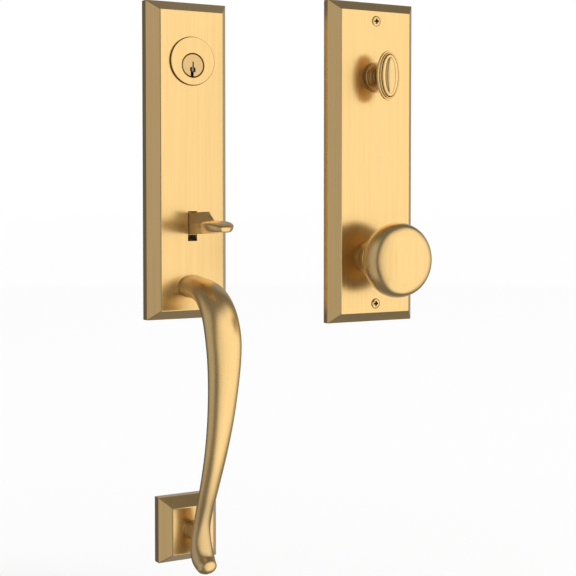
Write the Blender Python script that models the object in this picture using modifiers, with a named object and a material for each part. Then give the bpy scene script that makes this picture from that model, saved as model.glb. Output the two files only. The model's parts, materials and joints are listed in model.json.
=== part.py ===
"""Entry door handleset: an outside trim with a grip and a thumb piece, and an inside trim with a
turn piece and a knob. Each piece is modelled with its own Z pointing out of the door and its own
Y pointing up, then stood up, so that the fronts face -Y. The origin lies on the back rim of the
outside plate, in the middle of its bottom edge."""

import math

import bmesh
import bpy
from mathutils import Vector

mm = 0.001

# Bevelled plates, shared by both trims and the grip's base
PLATE_HEIGHT = 247.6 * mm
OUTSIDE_WIDTH = 68.4 * mm
OUTSIDE_DEPTH = 18.2 * mm
OUTSIDE_SIDE = 7.5 * mm
INSIDE_WIDTH = 77.2 * mm
INSIDE_DEPTH = 14.2 * mm
INSIDE_SIDE = 6 * mm
PLATE_BEVEL = 7.6 * mm
PLATE_WALL = 3.2 * mm
EDGE_ROUND = 0.5 * mm
GAP = 0.3 * mm

# Where things sit, from the latch axis: the margins are of the outside plate past the cylinder
# and past the latch, and of the inside plate past the turn piece
TOP_MARGIN = 46.5 * mm
BOTTOM_MARGIN = 61.4 * mm
INSIDE_TOP_MARGIN = 58.3 * mm
BOLT_SPACING = PLATE_HEIGHT - TOP_MARGIN - BOTTOM_MARGIN
OUTSIDE_TOP = BOLT_SPACING + TOP_MARGIN
INSIDE_TOP = BOLT_SPACING + INSIDE_TOP_MARGIN
INSIDE_DROP = 1.3 * mm
INSIDE_SHIFT = (121.4 * mm, 78.7 * mm)

# Key cylinder
DISC_RADIUS = 18.7 * mm
DISC_PROUD = 2 * mm
DISC_FRONT = OUTSIDE_DEPTH + DISC_PROUD
FLANGE_RADIUS = 22 * mm
FLANGE_THICKNESS = 2.9 * mm
HOUSING_RADIUS = 16 * mm
HOUSING_BACK = -10 * mm
PLUG_RADIUS = 8.9 * mm
PLUG_DROP = 3.4 * mm
PLUG_BACK = -11 * mm
PIN_RADIUS = 1.2 * mm
PIN_PITCH = 4 * mm
PIN_COUNT = 5
PIN_OFFSET = 0.9 * mm
TAIL_WIDTH = 5 * mm
TAIL_THICKNESS = 1.6 * mm
TAIL_END = -58 * mm
BRACKET_REACH = 27 * mm
BRACKET_HALF_WIDTH = 23 * mm
BRACKET_END = 5 * mm
BRACKET_THICKNESS = 1.5 * mm

# Thumb piece and the lift behind it
BLADE_WIDTH = 7.1 * mm
SLOT_WIDTH = 7.8 * mm
SLOT_BOTTOM = 0.1 * mm
SLOT_TOP = 23.4 * mm
PIVOT_OUT = 7 * mm
PIVOT_UP = 17 * mm
PIVOT_RADIUS = 1.5 * mm
HUB_RADIUS = 7 * mm
SPINDLE_SIDE = 7 * mm
CARRIER_FRONT = 3.7 * mm
CARRIER_BACK = 2.2 * mm
CARRIER_SCREW_ACROSS = 19 * mm
CARRIER_SCREW_BOTTOM = -19 * mm
CARRIER_SCREW_TOP = 26 * mm
CARRIER_EDGE = 5 * mm
SPRING_RADIUS = 2.7 * mm
SPRING_WIRE = 0.4 * mm
SPRING_TURNS = 4

# Grip: distance out of the door, height above the latch axis, half width, half thickness
GRIP_ROOT = -35.4 * mm
GRIP_FOOT = -227.2 * mm
GRIP_STATIONS = (
    (18.5, -35.3, 12.9, 9.0),
    (21.8, -35.4, 12.4, 8.5),
    (35.5, -36.6, 12.8, 8.6),
    (48.7, -40.0, 13.4, 8.6),
    (59.5, -47.0, 13.9, 8.6),
    (67.4, -57.4, 14.4, 8.4),
    (72.3, -72.0, 14.5, 8.4),
    (73.5, -88.0, 13.6, 8.0),
    (71.8, -108.0, 12.3, 7.2),
    (67.1, -133.0, 10.8, 6.3),
    (58.9, -160.0, 9.2, 5.5),
    (47.9, -187.0, 7.9, 4.9),
    (38.0, -209.0, 7.2, 4.6),
    (33.3, -222.0, 7.3, 4.8),
    (32.1, -232.5, 8.5, 5.7),
    (33.6, -240.5, 9.3, 6.4),
    (37.3, -246.8, 9.2, 6.6),
    (42.4, -250.2, 8.2, 6.3),
)
GRIP_STEPS = 2
GRIP_SIDES = 20
POST_RADIUS = 6.8 * mm

# Grip base
BASE_WIDTH = 50.2 * mm
BASE_HEIGHT = 51.8 * mm

# Turn piece: half width, half height and distance out of the door of each ring
TURN_RINGS = (
    (4.6, 8.0, 27.2),
    (8.6, 17.0, 29.2),
    (10.2, 18.7, 30.3),
    (10.3, 18.8, 31.3),
    (9.9, 18.5, 32.1),
    (9.5, 18.1, 32.1),
    (9.1, 17.7, 31.5),
    (8.8, 17.4, 33.0),
    (8.3, 17.0, 33.5),
    (7.8, 16.5, 33.4),
    (7.3, 16.0, 32.8),
    (7.0, 15.7, 34.0),
    (6.6, 15.3, 34.4),
    (6.1, 15.0, 34.2),
    (5.6, 14.6, 33.3),
    (5.0, 14.0, 34.3),
    (4.5, 13.6, 34.7),
    (3.6, 11.2, 35.7),
    (2.0, 6.6, 36.4),
)
TURN_SIDES = 28
TURN_SHANK = 5.2 * mm
COLLAR_RADIUS = 11.4 * mm

# Knob, as radius and distance out of the door, from its front to its neck
KNOB_PROFILE = (
    (0, 58.4), (8, 57.9), (15, 56.6), (20.5, 54.8), (24.4, 52.6), (26.6, 50.2), (27.8, 47.4),
    (28.2, 44.4), (27.9, 41.4), (26.9, 38.4), (24.6, 35), (20.6, 31.8), (15.4, 28.6),
    (11.2, 26), (9.6, 23.1),
)
KNOB_SHANK = 9.3 * mm
ROSE_RADIUS = 14.6 * mm
SPINDLE_FRONT = 28 * mm
SPINDLE_REACH = 30 * mm

# Chassis behind the inside plate: its margins inside the plate's outline, and its openings
CHASSIS_SIDE_MARGIN = 9.6 * mm
CHASSIS_END_MARGIN = 8.3 * mm
CHASSIS_KNOB_HOLE = 17 * mm
CHASSIS_TURN_HOLE = 14 * mm
CHASSIS_WEB = 24 * mm

SCREW_INSET_TOP = 15.2 * mm
SCREW_INSET_BOTTOM = 14.5 * mm


def clear_scene():
    for obj in list(bpy.data.objects):
        bpy.data.objects.remove(obj)


clear_scene()
scene = bpy.context.scene
product = bpy.data.collections.new("entry_handleset")
cutters = bpy.data.collections.new("cutters")
scene.collection.children.link(product)
scene.collection.children.link(cutters)
cutters.hide_render = True


def material(name, colour, roughness, metallic):
    made = bpy.data.materials.new(name)
    made.use_nodes = True
    shader = made.node_tree.nodes["Principled BSDF"]
    shader.inputs["Base Color"].default_value = (*colour, 1)
    shader.inputs["Roughness"].default_value = roughness
    shader.inputs["Metallic"].default_value = metallic
    return made


brass = material("satin_brass", (0.80, 0.58, 0.30), 0.34, 1)
machined = material("machined_brass", (0.74, 0.55, 0.29), 0.28, 1)
steel = material("zinc_steel", (0.58, 0.58, 0.57), 0.38, 1)
spring_steel = material("spring_steel", (0.42, 0.42, 0.43), 0.3, 1)
black = material("black_plastic", (0.012, 0.012, 0.012), 0.6, 0)


def trim_empty(name, location):
    empty = bpy.data.objects.new(name, None)
    empty.location = location
    product.objects.link(empty)
    return empty


latch_height = PLATE_HEIGHT - OUTSIDE_TOP - PLATE_WALL / 2
outside = trim_empty("outside_trim", (0, 0, latch_height))
inside = trim_empty(
    "inside_trim",
    (INSIDE_SHIFT[0], -INSIDE_SHIFT[1], latch_height + OUTSIDE_TOP - INSIDE_TOP - INSIDE_DROP),
)


def stand_up(name, data, trim, at, finish):
    """A piece of the product, or a cutter when it has no finish. at is across, up and out."""
    obj = bpy.data.objects.new(name, data)
    obj.parent = trim
    obj.location = (at[0], -at[2], at[1])
    obj.rotation_euler = (math.radians(90), 0, 0)
    if finish:
        product.objects.link(obj)
        data.materials.append(finish)
    else:
        cutters.objects.link(obj)
        obj.hide_render = True
        obj.display_type = "WIRE"
    return obj


def boolean(obj, other, operation):
    step = obj.modifiers.new(operation.lower(), "BOOLEAN")
    step.operation = operation
    step.solver = "EXACT"
    step.object = other


def cut(obj, *others):
    for other in others:
        boolean(obj, other, "DIFFERENCE")


def join(obj, *others):
    for other in others:
        boolean(obj, other, "UNION")


def round_edges(obj, width, segments=2):
    step = obj.modifiers.new("rounded edges", "BEVEL")
    step.width = width
    step.segments = segments
    step.limit_method = "ANGLE"
    step.angle_limit = math.radians(30)


def bevelled_block(name, width, height, side, inset, rise, trim, at, finish=None):
    """A block whose front is drawn in all round by a mitred bevel."""
    bm = bmesh.new()
    bmesh.ops.create_cube(bm, size=1)
    bmesh.ops.scale(bm, vec=(width, height, side), verts=bm.verts)
    bmesh.ops.translate(bm, vec=(0, 0, side / 2), verts=bm.verts)
    front = max(bm.faces, key=lambda face: face.calc_center_median().z)
    bmesh.ops.inset_region(bm, faces=[front], thickness=inset, depth=0, use_even_offset=True)
    bmesh.ops.translate(bm, vec=(0, 0, rise), verts=front.verts)
    mesh = bpy.data.meshes.new(name)
    bm.to_mesh(mesh)
    bm.free()
    return stand_up(name, mesh, trim, at, finish)


def box(name, size, trim, at, finish=None):
    """A plain block centred on at."""
    bm = bmesh.new()
    bmesh.ops.create_cube(bm, size=1)
    bmesh.ops.scale(bm, vec=size, verts=bm.verts)
    mesh = bpy.data.meshes.new(name)
    bm.to_mesh(mesh)
    bm.free()
    return stand_up(name, mesh, trim, at, finish)


def turned(name, profile, trim, at, finish=None, steps=48, ring=False, axis="Z"):
    """A turned piece from (radius, out) points, run down its outer side from front to back."""
    points = [(radius, 0, out) for radius, out in profile]
    if axis == "X":
        points = [(out, radius, 0) for radius, out in profile]
    edges = [(i, i + 1) for i in range(len(points) - 1)]
    if ring:
        edges.append((len(points) - 1, 0))
    mesh = bpy.data.meshes.new(name)
    mesh.from_pydata(points, edges, [])
    obj = stand_up(name, mesh, trim, at, finish)
    spin = obj.modifiers.new("turned", "SCREW")
    spin.axis = axis
    spin.steps = steps
    spin.render_steps = steps
    spin.use_merge_vertices = True
    spin.merge_threshold = 0.00001
    spin.use_smooth_shade = True
    return obj


def rod(name, radius, front, back, trim, at, finish=None, steps=24, axis="Z"):
    ends = [(0, front), (radius, front), (radius, back), (0, back)]
    return turned(name, ends, trim, at, finish, steps, False, axis)


def drill(name, radius, front, back, trim, at, steps=24):
    """The cutter of a round hole, turned so that its corners miss those of a boss round it."""
    made = rod(name, radius, front, back, trim, at, steps=steps)
    made.rotation_euler.y = math.radians(5)
    return made


def washer(name, outer, inner, front, back, trim, at, finish=None, steps=20):
    loop = [(outer, front), (outer, back), (inner, back), (inner, front)]
    return turned(name, loop, trim, at, finish, steps, True)


def flat(name, outlines, front, back, trim, at, finish=None):
    """A flat piece between two depths; outlines after the first are its openings."""
    curve = bpy.data.curves.new(name, "CURVE")
    curve.dimensions = "2D"
    curve.fill_mode = "BOTH"
    curve.extrude = (front - back) / 2
    for outline in outlines:
        spline = curve.splines.new("POLY")
        spline.points.add(len(outline) - 1)
        for point, (across, up) in zip(spline.points, outline):
            point.co = (across, up, 0, 1)
        spline.use_cyclic_u = True
    helper = bpy.data.objects.new(name + " outline", curve)
    cutters.objects.link(helper)
    bpy.context.view_layer.update()
    bm = bmesh.new()
    bm.from_mesh(helper.evaluated_get(bpy.context.evaluated_depsgraph_get()).to_mesh())
    bpy.data.objects.remove(helper)
    bmesh.ops.remove_doubles(bm, verts=bm.verts, dist=1e-7)
    bmesh.ops.translate(bm, vec=(0, 0, (front + back) / 2), verts=bm.verts)
    bmesh.ops.recalc_face_normals(bm, faces=bm.faces)
    mesh = bpy.data.meshes.new(name)
    bm.to_mesh(mesh)
    bm.free()
    return stand_up(name, mesh, trim, at, finish)


def rectangle(left, right, bottom, top):
    return [(left, bottom), (right, bottom), (right, top), (left, top)]


def rounded_rectangle(left, right, bottom, top, radius, steps=4):
    points = []
    corners = ((right, top, 0), (left, top, 1), (left, bottom, 2), (right, bottom, 3))
    for across, up, quarter in corners:
        across -= math.copysign(radius, across - (left + right) / 2)
        up -= math.copysign(radius, up - (bottom + top) / 2)
        for i in range(steps + 1):
            angle = (quarter + i / steps) * math.pi / 2
            points.append((across + radius * math.cos(angle), up + radius * math.sin(angle)))
    return points


def circle(across, up, radius, steps=32):
    angles = [2 * math.pi * i / steps for i in range(steps)]
    return [(across + radius * math.cos(a), up + radius * math.sin(a)) for a in angles]


def loft(name, rings, trim, at, finish=None):
    """A closed skin through rings of equally many points."""
    bm = bmesh.new()
    rows = [[bm.verts.new(point) for point in ring] for ring in rings]
    for row, following in zip(rows, rows[1:]):
        for i, vert in enumerate(row):
            j = (i + 1) % len(row)
            bm.faces.new((vert, row[j], following[j], following[i]))
    bm.faces.new(rows[0])
    bm.faces.new(rows[-1])
    bmesh.ops.recalc_face_normals(bm, faces=bm.faces)
    for face in bm.faces:
        face.smooth = len(face.verts) == 4
    mesh = bpy.data.meshes.new(name)
    bm.to_mesh(mesh)
    bm.free()
    return stand_up(name, mesh, trim, at, finish)


def blend(stations, steps):
    """Rows of numbers joined by a smooth curve through all of them."""
    rows = []
    last = len(stations) - 1
    for i in range(last):
        before = stations[max(i - 1, 0)]
        here = stations[i]
        there = stations[i + 1]
        after = stations[min(i + 2, last)]
        for step in range(steps):
            t = step / steps
            row = []
            for a, b, c, d in zip(before, here, there, after):
                bend = (2 * a - 5 * b + 4 * c - d) * t * t + (3 * b - a - 3 * c + d) * t ** 3
                row.append(b + ((c - a) * t + bend) / 2)
            rows.append(row)
    rows.append(list(stations[last]))
    return rows


def cross_recess(name, size, front, back, trim, at):
    """The cutter of a cross recess between two depths."""
    arm = size / 2
    web = size / 6
    end = size / 8
    plus = [
        (end, arm), (-end, arm), (-web, web), (-arm, end), (-arm, -end), (-web, -web),
        (-end, -arm), (end, -arm), (web, -web), (arm, -end), (arm, end), (web, web),
    ]
    return flat(name, [plus], front, back, trim, at)


def rear_screw(name, shank, head, length, seat, height, trim, at):
    """A cross-recessed screw driven from behind the plate. seat is where its head bears."""
    top = seat - height
    screw = turned(
        name,
        [
            (0, seat + length),
            (shank, seat + length - shank * 0.5),
            (shank, seat),
            (head, seat),
            (head, seat - height * 0.5),
            (head * 0.72, top),
            (0, top),
        ],
        trim,
        at,
        steel,
        steps=14,
    )
    cut(screw, cross_recess(name + " recess", head * 1.1, seat - height * 0.4, top - 1 * mm, trim, at))
    return screw


def bevelled_plate(name, width, height, depth, side, middle, trim):
    """A hollow plate with its mitred bevel, open at the back."""
    rise = depth - side
    slope = math.hypot(PLATE_BEVEL, rise)
    plate = bevelled_block(name, width, height, side, PLATE_BEVEL, rise, trim, (0, middle, 0), brass)
    round_edges(plate, EDGE_ROUND)
    inner_side = side - PLATE_WALL * (slope - rise) / PLATE_BEVEL
    inner_rise = depth - PLATE_WALL - inner_side
    inner_inset = inner_rise * PLATE_BEVEL / rise
    hollow_start = 5 * mm
    hollow = bevelled_block(
        name + " hollow",
        width - 2 * PLATE_WALL,
        height - 2 * PLATE_WALL,
        inner_side + hollow_start,
        inner_inset,
        inner_rise,
        trim,
        (0, middle, -hollow_start),
    )
    cut(plate, hollow)
    return plate


def boss(plate, name, radius, back, across, up, trim, hole=1.45 * mm):
    """A round boss on the inner side of the outside plate's front, with its screw hole."""
    seat = OUTSIDE_DEPTH - PLATE_WALL / 2
    join(plate, rod(name, radius, seat, back, trim, (across, up, 0), steps=12))
    depth = OUTSIDE_DEPTH - PLATE_WALL * 0.6
    cut(plate, drill(name + " hole", hole, depth, back - 1 * mm, trim, (across, up, 0), steps=8))


# The outside plate and what is screwed into its back
outside_plate = bevelled_plate(
    "exterior_escutcheon", OUTSIDE_WIDTH, PLATE_HEIGHT, OUTSIDE_DEPTH, OUTSIDE_SIDE,
    OUTSIDE_TOP - PLATE_HEIGHT / 2, outside,
)
flange_front = OUTSIDE_DEPTH - PLATE_WALL - GAP
bracket_front = flange_front - FLANGE_THICKNESS - GAP
bracket_back = bracket_front - BRACKET_THICKNESS
for side, name in ((1, "upper"), (-1, "lower")):
    up = BOLT_SPACING + side * BRACKET_REACH
    boss(outside_plate, name + " bracket boss", 4 * mm, bracket_front + GAP, 0, up, outside)
carrier_screws = [
    (side * CARRIER_SCREW_ACROSS, up)
    for up in (CARRIER_SCREW_BOTTOM, CARRIER_SCREW_TOP)
    for side in (-1, 1)
]
for across, up in carrier_screws:
    boss(outside_plate, "carrier boss", 3.6 * mm, CARRIER_FRONT + GAP, across, up, outside)
ear_width = 4 * mm
ear_front = OUTSIDE_DEPTH - PLATE_WALL / 2
ear_back = 4.2 * mm
for side in (-1, 1):
    ear = box(
        "pivot ear",
        (ear_width, 9.4 * mm, ear_front - ear_back),
        outside,
        (side * (SLOT_WIDTH + ear_width) / 2, PIVOT_UP, (ear_front + ear_back) / 2),
    )
    join(outside_plate, ear)
slot_height = SLOT_TOP - SLOT_BOTTOM
cut(
    outside_plate,
    box(
        "thumb slot",
        (SLOT_WIDTH, slot_height, 2 * OUTSIDE_DEPTH),
        outside,
        (0, (SLOT_TOP + SLOT_BOTTOM) / 2, OUTSIDE_DEPTH),
    ),
    rod("pivot hole", PIVOT_RADIUS + GAP, 20 * mm, -20 * mm, outside,
        (0, PIVOT_UP, PIVOT_OUT), steps=16, axis="X"),
    drill("cylinder hole", DISC_RADIUS + GAP, OUTSIDE_DEPTH + 4 * mm, 5 * mm, outside,
        (0, BOLT_SPACING, 0), steps=48),
    drill("grip screw hole", 3.3 * mm, OUTSIDE_DEPTH + 4 * mm, 5 * mm, outside, (0, GRIP_ROOT, 0)),
)

# Key cylinder
housing = turned(
    "cylinder_housing",
    [
        (0, DISC_FRONT),
        (DISC_RADIUS - 0.7 * mm, DISC_FRONT),
        (DISC_RADIUS - 0.2 * mm, DISC_FRONT - 0.2 * mm),
        (DISC_RADIUS, DISC_FRONT - 0.7 * mm),
        (DISC_RADIUS, flange_front),
        (FLANGE_RADIUS, flange_front),
        (FLANGE_RADIUS, bracket_front + GAP),
        (HOUSING_RADIUS, bracket_front + GAP),
        (HOUSING_RADIUS, HOUSING_BACK),
        (0, HOUSING_BACK),
    ],
    outside,
    (0, BOLT_SPACING, 0),
    brass,
    steps=36,
)
plug_at = (0, BOLT_SPACING - PLUG_DROP, 0)
bore = PLUG_RADIUS + GAP
cut(
    housing,
    turned(
        "plug bore",
        [
            (0, DISC_FRONT + 1 * mm),
            (bore + 1.5 * mm, DISC_FRONT + 1 * mm),
            (bore, DISC_FRONT - 0.5 * mm),
            (bore, HOUSING_BACK - 2 * mm),
            (0, HOUSING_BACK - 2 * mm),
        ],
        outside,
        plug_at,
        steps=32,
    ),
)
plug_front = DISC_FRONT - 0.1 * mm
plug = turned(
    "cylinder_plug",
    [
        (0, plug_front),
        (PLUG_RADIUS - 0.4 * mm, plug_front),
        (PLUG_RADIUS, plug_front - 0.4 * mm),
        (PLUG_RADIUS, PLUG_BACK),
        (0, PLUG_BACK),
    ],
    outside,
    plug_at,
    machined,
    steps=32,
)
KEYWAY = (
    (-0.7, 2.9), (-0.7, -0.9), (-2.7, -1.9), (-2.7, -3.9), (-2.0, -4.8), (-2.0, -9.5),
    (0.5, -9.5), (0.5, -5.4), (2.2, -4.9), (2.2, -2.2), (0.7, -1.2), (0.7, 2.9),
)
keyway_back = plug_front - 24 * mm
cut(
    plug,
    flat(
        "keyway",
        [[(across * mm, up * mm) for across, up in KEYWAY]],
        plug_front + 1 * mm,
        keyway_back,
        outside,
        plug_at,
    ),
    box(
        "tail slot",
        (TAIL_WIDTH + 2 * GAP, TAIL_THICKNESS + 2 * GAP, 6 * mm),
        outside,
        (plug_at[0], plug_at[1], PLUG_BACK),
    ),
)
PIN_TIP = -4.9 * mm
pin_top = PLUG_RADIUS - 0.5 * mm
for number in range(PIN_COUNT):
    at = (PIN_OFFSET, plug_at[1], plug_front - 3 * mm - number * PIN_PITCH)
    chamber = rod("pin chamber", PIN_RADIUS + GAP, 10 * mm, -3 * mm, outside, at, steps=16)
    chamber.rotation_euler = (0, 0, 0)
    cut(plug, chamber)
    pin = turned(
        f"tumbler_pin_{number + 1}",
        [
            (0, pin_top),
            (PIN_RADIUS, pin_top),
            (PIN_RADIUS, PIN_TIP + 0.6 * mm),
            (PIN_RADIUS * 0.5, PIN_TIP),
            (0, PIN_TIP),
        ],
        outside,
        at,
        steel,
        steps=16,
    )
    pin.rotation_euler = (0, 0, 0)
cap_back = PLUG_BACK - GAP - 1.6 * mm
cap = turned(
    "plug_cap",
    [(0, PLUG_BACK - GAP), (8.2 * mm, PLUG_BACK - GAP), (8.2 * mm, cap_back), (0, cap_back)],
    outside,
    plug_at,
    steel,
    steps=32,
)
cut(
    cap,
    box(
        "cap slot",
        (TAIL_WIDTH + 2 * GAP, TAIL_THICKNESS + 2 * GAP, 10 * mm),
        outside,
        (plug_at[0], plug_at[1], cap_back),
    ),
)
tail_front = PLUG_BACK + 2.6 * mm
tailpiece = box(
    "cylinder_tailpiece",
    (TAIL_WIDTH, TAIL_THICKNESS, tail_front - TAIL_END),
    outside,
    (plug_at[0], plug_at[1], (tail_front + TAIL_END) / 2),
    steel,
)
round_edges(tailpiece, 0.2 * mm, 1)
bracket_half_height = BRACKET_REACH + BRACKET_END
flat(
    "cylinder_bracket",
    [
        rounded_rectangle(
            -BRACKET_HALF_WIDTH, BRACKET_HALF_WIDTH, -bracket_half_height, bracket_half_height,
            BRACKET_END,
        ),
        circle(0, 0, HOUSING_RADIUS + GAP, 32),
        circle(0, BRACKET_REACH, 1.8 * mm, 12),
        circle(0, -BRACKET_REACH, 1.8 * mm, 12),
    ],
    bracket_front,
    bracket_back,
    outside,
    (0, BOLT_SPACING, 0),
    steel,
)
for side, name in ((1, "upper"), (-1, "lower")):
    rear_screw(
        f"bracket_screw_{name}", 1.15 * mm, 2.7 * mm, 5 * mm, bracket_back - GAP, 1.8 * mm,
        outside, (0, BOLT_SPACING + side * BRACKET_REACH, 0),
    )

# Thumb piece: a blade through the slot that spreads into a domed pad. The last number of each
# station says how round its section is, from 0 for a square to 1 for an ellipse
THUMB_STATIONS = (
    (12.5, 3.4, 5.2, 12.2, 14.0, 0.25),
    (27.5, 3.5, 5.8, 12.2, 14.2, 0.30),
    (37.8, 4.8, 6.2, 12.6, 14.6, 0.45),
    (48.0, 7.8, 6.7, 13.4, 15.6, 0.55),
    (57.3, 10.3, 7.3, 14.2, 16.8, 0.6),
    (65.3, 10.9, 7.9, 13.8, 16.4, 0.6),
    (71.0, 9.3, 8.4, 12.9, 14.9, 0.6),
    (74.9, 6.4, 8.7, 11.9, 13.3, 0.6),
    (77.0, 2.8, 9.1, 10.9, 11.6, 0.6),
)
THUMB_SIDES = 20


def thumb_ring(out, half, bottom, edge, top, roundness):
    ring = []
    for i in range(THUMB_SIDES):
        angle = 2 * math.pi * i / THUMB_SIDES
        across = math.cos(angle)
        up = math.sin(angle)
        squarer = math.copysign(abs(across) ** roundness, across)
        if up >= 0:
            height = edge + (top - edge) * up
        else:
            height = edge - (edge - bottom) * min(1, abs(up) * 1.25)
        ring.append((half * squarer * mm, height * mm - PIVOT_UP, out * mm - PIVOT_OUT))
    return ring


pivot_at = (0, PIVOT_UP, PIVOT_OUT)
thumb = loft(
    "thumb_piece", [thumb_ring(*row) for row in blend(THUMB_STATIONS, 2)], outside, pivot_at, brass
)
BLADE_SIDE = (
    (12.5, 4.9), (17.6, 5.0), (17.6, 22.4), (8.6, 22.4), (6.2, 21.6), (3.8, 20.4),
    (2.6, 18.4), (2.4, 16.2), (-2.6, 11.5), (-8.0, 11.5), (-8.0, 9.2), (-2.2, 9.2),
    (3.0, 11.6), (7.6, 12.0), (10.6, 9.8),
)
# Height of each row of the fin, how far out its front lies, and how much its front is lifted
FIN_ROWS = (
    (11.0, 58.0, 0),
    (15.4, 58.0, 0),
    (18.0, 53.2, 0),
    (20.2, 49.6, 0),
    (22.3, 46.0, 1.0),
)
FIN_BACK = 15.0
FIN_SPREAD = 20.0
FIN_HALVES = (3.3, 1.2)
blade = flat(
    "thumb blade",
    [[(PIVOT_OUT - out * mm, up * mm - PIVOT_UP) for out, up in BLADE_SIDE]],
    BLADE_WIDTH / 2,
    -BLADE_WIDTH / 2,
    outside,
    pivot_at,
)
blade.rotation_euler = (math.radians(90), 0, math.radians(90))


def fin_ring(up, front, lift):
    wide, thin = FIN_HALVES
    plan = (
        (-wide, FIN_BACK), (wide, FIN_BACK), (wide, FIN_SPREAD),
        (thin, front), (-thin, front), (-wide, FIN_SPREAD),
    )
    ring = []
    for across, out in plan:
        height = up + lift * (out - FIN_SPREAD) / (front - FIN_SPREAD)
        ring.append((across * mm, height * mm - PIVOT_UP, out * mm - PIVOT_OUT))
    return ring


fin = loft("thumb fin", [fin_ring(*row) for row in FIN_ROWS], outside, pivot_at)
join(thumb, blade, fin)
cut(
    thumb,
    rod("thumb pivot hole", PIVOT_RADIUS + GAP, 20 * mm, -20 * mm, outside, pivot_at, steps=16,
        axis="X"),
)
rod("thumb_pivot_pin", PIVOT_RADIUS, SLOT_WIDTH / 2 + ear_width - 0.4 * mm,
    -SLOT_WIDTH / 2 - ear_width + 0.4 * mm, outside, pivot_at, steel, steps=16, axis="X")
box(
    "slot_shield",
    (18 * mm, 8.4 * mm, 1 * mm),
    outside,
    (0, -2.2 * mm, OUTSIDE_DEPTH - PLATE_WALL - GAP - 0.5 * mm),
    black,
)

# Carrier plate behind the thumb piece, with the lift slide, the latch hub and its spring
carrier_half = CARRIER_SCREW_ACROSS + CARRIER_EDGE
carrier = flat(
    "lift_carrier",
    [
        rounded_rectangle(
            -carrier_half, carrier_half, CARRIER_SCREW_BOTTOM - CARRIER_EDGE,
            CARRIER_SCREW_TOP + CARRIER_EDGE, CARRIER_EDGE,
        ),
        circle(0, 0, HUB_RADIUS + GAP, 24),
        rectangle(-4.6 * mm, 4.6 * mm, 8.8 * mm, 22.4 * mm),
        *[circle(across, up, 1.8 * mm, 12) for across, up in carrier_screws],
    ],
    CARRIER_FRONT,
    CARRIER_BACK,
    outside,
    (0, 0, 0),
    steel,
)
tab_depth = 14 * mm
for name, size, across, up in (
    ("guide tab", (1.5 * mm, 12 * mm, tab_depth), 17.2 * mm, 4 * mm),
    ("spring tab", (9 * mm, 1.5 * mm, tab_depth), 0, 25.4 * mm),
):
    join(carrier, box(name, size, outside, (across, up, CARRIER_FRONT - 0.2 * mm - tab_depth / 2)))
for number, (across, up) in enumerate(carrier_screws, 1):
    rear_screw(
        f"carrier_screw_{number}", 1.15 * mm, 2.7 * mm, 6.5 * mm, CARRIER_BACK - GAP, 1.5 * mm,
        outside, (across, up, 0),
    )
SLIDE_SHAPE = (
    (-5.5, 11.9), (13.5, 11.9), (13.5, -2.3), (9.5, -2.3), (9.5, -5.0), (16.0, -5.0),
    (16.0, 14.3), (-5.5, 14.3),
)
slide_front = -3 * mm
slide_back = -11.5 * mm
flat(
    "lift_slide",
    [[(across * mm, up * mm) for across, up in SLIDE_SHAPE]],
    slide_front,
    slide_back,
    outside,
    (0, 0, 0),
    steel,
)
hub_front = 6.2 * mm
hub = turned(
    "latch_hub",
    [
        (0, hub_front),
        (9 * mm, hub_front),
        (9.5 * mm, hub_front - 0.5 * mm),
        (9.5 * mm, CARRIER_FRONT + GAP),
        (HUB_RADIUS, CARRIER_FRONT + GAP),
        (HUB_RADIUS, -14 * mm),
        (0, -14 * mm),
    ],
    outside,
    (0, 0, 0),
    steel,
    steps=24,
)
socket_side = SPINDLE_SIDE + 2 * GAP
cut(hub, box("hub socket", (socket_side, socket_side, 20 * mm), outside, (0, 0, -6.6 * mm)))
crank_front = -9.3 * mm
crank_back = -11.3 * mm
crank_reach = 13 * mm
crank_radius = 9 * mm
crank_half = 2 * mm
mouth = math.asin(crank_half / crank_radius)
crank_angles = [mouth + (2 * math.pi - 2 * mouth) * i / 20 for i in range(21)]
crank_shape = [(crank_reach, crank_half)]
crank_shape += [(crank_radius * math.cos(a), crank_radius * math.sin(a)) for a in crank_angles]
crank_shape.append((crank_reach, -crank_half))
flat("hub_crank", [crank_shape, circle(0, 0, HUB_RADIUS + GAP, 32)], crank_front, crank_back,
     outside, (0, 0, 0), steel)
washer("hub_clip", 9.2 * mm, HUB_RADIUS + GAP, crank_back - GAP, crank_back - GAP - 1 * mm,
       outside, (0, 0, 0), steel)
spindle = box(
    "exterior_spindle", (SPINDLE_SIDE, SPINDLE_SIDE, 34.6 * mm), outside, (0, 0, -14.5 * mm), steel
)
round_edges(spindle, 0.5 * mm, 1)

spring_bottom = 14.3 * mm + GAP + SPRING_WIRE
spring_top = 24.65 * mm - GAP - SPRING_WIRE
coil = bpy.data.curves.new("lift_spring", "CURVE")
coil.dimensions = "3D"
coil.bevel_depth = SPRING_WIRE
coil.bevel_resolution = 1
coil.use_fill_caps = True
coil.resolution_u = 1
turns = coil.splines.new("POLY")
per_turn = 10
count = SPRING_TURNS * per_turn
turns.points.add(count)
for i, point in enumerate(turns.points):
    angle = 2 * math.pi * i / per_turn
    height = spring_bottom + (spring_top - spring_bottom) * i / count
    point.co = (SPRING_RADIUS * math.cos(angle), height, -7.2 * mm + SPRING_RADIUS * math.sin(angle), 1)
stand_up("lift_spring", coil, outside, (0, 0, 0), spring_steel)


# Grip: an oval section swept along an S, closed by a rounded tail
def grip_ring(row, before, after, shrink=1.0):
    out, up, half_width, half_thickness = row
    along = Vector((after[0] - before[0], after[1] - before[1])).normalized()
    across_path = Vector((-along.y, along.x))
    ring = []
    for i in range(GRIP_SIDES):
        angle = 2 * math.pi * i / GRIP_SIDES
        sideways = half_width * shrink * math.cos(angle)
        lift = half_thickness * shrink * math.sin(angle)
        ring.append(
            (sideways * mm, (up + across_path.y * lift) * mm, (out + across_path.x * lift) * mm)
        )
    return ring


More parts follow.
